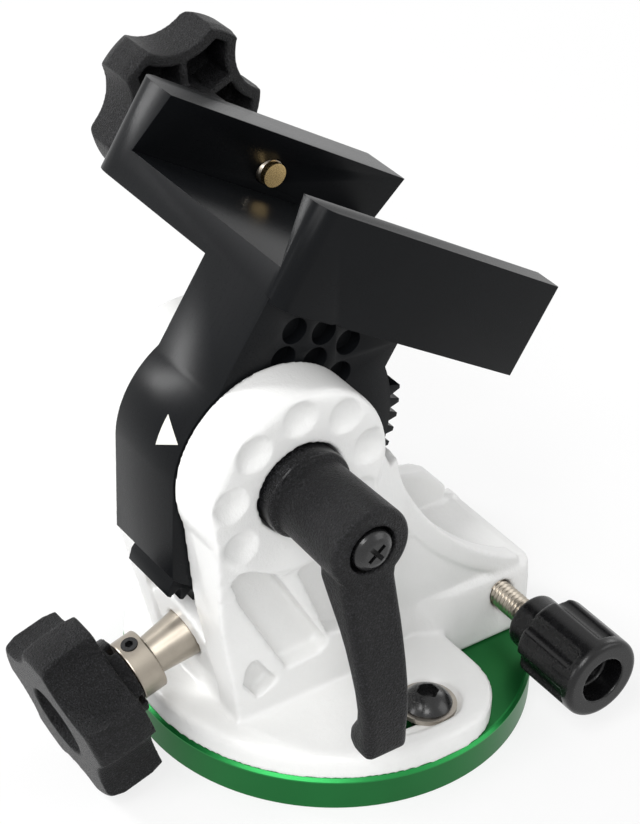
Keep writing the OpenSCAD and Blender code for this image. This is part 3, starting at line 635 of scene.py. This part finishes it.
class MOUNT_OT_knobs(bpy.types.Operator):
    """Make the star knobs and the two azimuth knobs"""

    bl_idname = "mount.knobs"
    bl_label = "Knobs"

    def execute(self, context):
        grainy = moulded_finish("grained black plastic")
        smooth = smooth_plastic_finish()
        voxel = shape_values().moulded_voxel
        star = soften("altitude_knob", "altitude_star", voxel)
        place(star, "worm", "black_plastic", grainy, "altitude_knob")
        star = soften("clamp_knob", "clamp_star", voxel)
        place(star, "clamp_screw", "black_plastic", grainy, "clamp_knob")
        for side in ("near", "far"):
            grip = soften(f"{side}_azimuth_knob", f"{side}_azimuth_grip", voxel, GRIP_ROUNDS)
            place(grip, f"{side}_azimuth_screw", "knob_plastic", smooth, f"{side}_azimuth_knob")
        return {"FINISHED"}


class MOUNT_OT_lever(bpy.types.Operator):
    """Make the indexing lever and finish the metal pieces inside it"""

    bl_idname = "mount.lever"
    bl_label = "Clamp lever"

    def execute(self, context):
        values = finish_values()
        arm = soften("lever_handle", "lever_arm", shape_values().moulded_voxel)
        collar = -shape_values().collar_end
        place(arm, "lever_handle", "black_plastic", moulded_finish("grained lever", collar), "lever_handle")
        dress("lever_screw", oxide_finish())
        dress("lever_insert", metal_finish("machined brass", values.brass, 0.28))
        spring = metal_finish("bright steel", values.steel, 0.25)
        for node in ("lever_spring", "lever_washer", "altitude_bolt"):
            dress(node, spring)
        return {"FINISHED"}


class MOUNT_OT_worm_drive(bpy.types.Operator):
    """Finish the worm, its bushes, plug and collar"""

    bl_idname = "mount.worm_drive"
    bl_label = "Worm drive"

    def execute(self, context):
        values = finish_values()
        nickel = metal_finish("nickel plate", values.nickel, 0.3, 0.4 * MM, (1, 0.15, 0.15))
        for node in ("worm", "worm_front_bush", "worm_collar"):
            dress(node, nickel)
        brass = metal_finish("turned brass", values.brass, 0.3)
        for node in ("worm_rear_bush", "altitude_knob_insert", "clamp_knob_insert"):
            dress(node, brass)
        dark = oxide_finish()
        dress("collar_set_screw", dark)
        dress("worm_end_plug", dark)
        return {"FINISHED"}


class MOUNT_OT_threads(bpy.types.Operator):
    """Cut the threads of the azimuth and clamp screws and finish their tips"""

    bl_idname = "mount.threads"
    bl_label = "Screw threads"

    def execute(self, context):
        values = finish_values()
        shape = shape_values()
        nickel = metal_finish("threaded nickel", values.nickel, 0.3, 0.3 * MM)
        tree = thread_tree()
        for node in ("near_azimuth_screw", "far_azimuth_screw", "clamp_screw"):
            low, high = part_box(node)
            piece = grow(
                f"{node}_thread", tree, Radius=(high.x - low.x) / 2 - shape.thread_relief,
                Depth=shape.thread_depth, Pitch=shape.thread_pitch, Length=high.y - low.y,
                Start=(low + high) / 2, Turn=(math.pi / 2, 0, 0), Finish=nickel,
            )
            piece.data.shade_smooth()
            piece.data.set_sharp_from_angle(angle=THREAD_SHARP_ANGLE)
            place(piece, node, "nickel_steel", nickel, node)
        nylon = nylon_finish()
        for node in ("near_azimuth_tip", "far_azimuth_tip"):
            dress(node, nylon)
        dress("clamp_tip", metal_finish("brass tip", values.brass, 0.25))
        return {"FINISHED"}


class MOUNT_OT_stage(bpy.types.Operator):
    """Set up the floor, the lamps, the world and the camera"""

    bl_idname = "mount.stage"
    bl_label = "Studio"

    def execute(self, context):
        stage = context.scene.mount_stage
        make_floor(stage)
        make_world(context.scene, stage.ambient)
        for name, (offset, size) in LAMPS.items():
            make_lamp(name, Vector(stage.aim), offset, size, getattr(stage, f"{name}_power"))
        make_camera(context.scene, stage)
        context.scene.view_settings.view_transform = "Standard"
        return {"FINISHED"}


def make_floor(stage):
    """A wide pale floor: white from afar, and with the object's shadow near it."""
    half = stage.floor_half
    mesh = bpy.data.meshes.new("floor")
    corners = [(-half, -half), (half, -half), (half, half), (-half, half)]
    mesh.from_pydata([(x, y, FLOOR_LEVEL) for x, y in corners], [], [(0, 1, 2, 3)])
    floor = bpy.data.objects.new("floor", mesh)
    bpy.context.scene.collection.objects.link(floor)
    material = bpy.data.materials.new("studio floor")
    material.use_nodes = True
    tree = material.node_tree
    shader = tree.nodes["Principled BSDF"]
    shader.inputs["Base Color"].default_value = (*stage.floor, 1)
    shader.inputs["Roughness"].default_value = 0.9
    shader.inputs["Specular IOR Level"].default_value = 0.0
    white = add_node(tree, "ShaderNodeEmission", None, {"Color": (1, 1, 1, 1), "Strength": 1.0})
    place = add_node(tree, "ShaderNodeTexCoord", output=3)
    distance = add_node(tree, "ShaderNodeVectorMath", {"operation": "LENGTH"}, {0: place}, 1)
    whiteness = add_node(
        tree, "ShaderNodeMapRange", None,
        {
            "Value": distance, "From Min": stage.fade_start, "From Max": stage.fade_end,
            "To Min": stage.near_white, "To Max": 1.0,
        },
    )
    mixed = add_node(
        tree, "ShaderNodeMixShader", None,
        {0: whiteness * seen_rays(tree), 1: Link(tree, shader.outputs[0]), 2: white},
    )
    tree.links.new(mixed.socket, tree.nodes["Material Output"].inputs["Surface"])
    mesh.materials.append(material)


def seen_rays(tree):
    """1 for rays from the camera, in reflections and through glass, and 0 for light."""
    path = tree.nodes.new("ShaderNodeLightPath")
    camera, glossy, through = (
        Link(tree, path.outputs[name])
        for name in ("Is Camera Ray", "Is Glossy Ray", "Is Transmission Ray")
    )
    return camera.apply("MAXIMUM", glossy).apply("MAXIMUM", through)


def make_world(scene, ambient):
    world = bpy.data.worlds.new("studio")
    scene.world = world
    world.use_nodes = True
    tree = world.node_tree
    background = tree.nodes["Background"]
    background.inputs["Color"].default_value = (1, 1, 1, 1)
    strength = seen_rays(tree) * (1 - ambient) + ambient
    tree.links.new(strength.socket, background.inputs["Strength"])


def make_lamp(name, aim, offset, size, power):
    data = bpy.data.lights.new(name, "AREA")
    data.shape = "RECTANGLE"
    data.size, data.size_y = size
    data.energy = power
    lamp = bpy.data.objects.new(name, data)
    bpy.context.scene.collection.objects.link(lamp)
    lamp.location = aim + Vector(offset)
    lamp.rotation_euler = (-Vector(offset)).to_track_quat("-Z", "Y").to_euler()


def make_camera(scene, stage):
    data = bpy.data.cameras.new("camera")
    data.lens = stage.lens
    data.sensor_width = SENSOR_WIDTH
    data.sensor_fit = "HORIZONTAL"
    data.clip_start = CLIP_START
    camera = bpy.data.objects.new("camera", data)
    scene.collection.objects.link(camera)
    ahead = Vector((
        math.cos(stage.elevation) * math.sin(stage.azimuth),
        math.cos(stage.elevation) * math.cos(stage.azimuth),
        -math.sin(stage.elevation),
    ))
    level = ahead.cross(Vector((0, 0, 1))).normalized()
    up = level.cross(ahead)
    right = math.cos(stage.roll) * level + math.sin(stage.roll) * up
    lifted = right.cross(ahead)
    turn = Matrix((right, lifted, -ahead)).transposed()
    camera.matrix_world = Matrix.Translation(Vector(stage.aim) - stage.distance * ahead) @ turn.to_4x4()
    scene.camera = camera


OPERATORS = (
    MOUNT_OT_base, MOUNT_OT_casting, MOUNT_OT_bracket, MOUNT_OT_knobs, MOUNT_OT_lever,
    MOUNT_OT_worm_drive, MOUNT_OT_threads, MOUNT_OT_stage,
)


class MOUNT_PT_panel(bpy.types.Panel):
    """Buttons for each group of pieces, and their sizes and colours"""

    bl_idname = "MOUNT_PT_panel"
    bl_label = "Equatorial Mount"
    bl_space_type = "VIEW_3D"
    bl_region_type = "UI"
    bl_category = "Mount"

    def draw(self, context):
        for operator in OPERATORS:
            self.layout.operator(operator.bl_idname)
        for values in (context.scene.mount_shape, context.scene.mount_finish, context.scene.mount_stage):
            box = self.layout.box()
            for key in values.__annotations__:
                box.prop(values, key)


GROUPS = {"mount_finish": MountFinish, "mount_shape": MountShape, "mount_stage": MountStage}


def register():
    for group in GROUPS.values():
        bpy.utils.register_class(group)
    for name, group in GROUPS.items():
        setattr(bpy.types.Scene, name, PointerProperty(type=group))
    for operator in OPERATORS:
        bpy.utils.register_class(operator)
    bpy.utils.register_class(MOUNT_PT_panel)


def unregister():
    bpy.utils.unregister_class(MOUNT_PT_panel)
    for operator in reversed(OPERATORS):
        bpy.utils.unregister_class(operator)
    for name in GROUPS:
        delattr(bpy.types.Scene, name)
    for group in reversed(tuple(GROUPS.values())):
        bpy.utils.unregister_class(group)


def main():
    register()
    bpy.ops.mount.base()
    bpy.ops.mount.casting()
    bpy.ops.mount.bracket()
    bpy.ops.mount.knobs()
    bpy.ops.mount.lever()
    bpy.ops.mount.worm_drive()
    bpy.ops.mount.threads()
    bpy.ops.mount.stage()


if __name__ == "__main__":
    main()
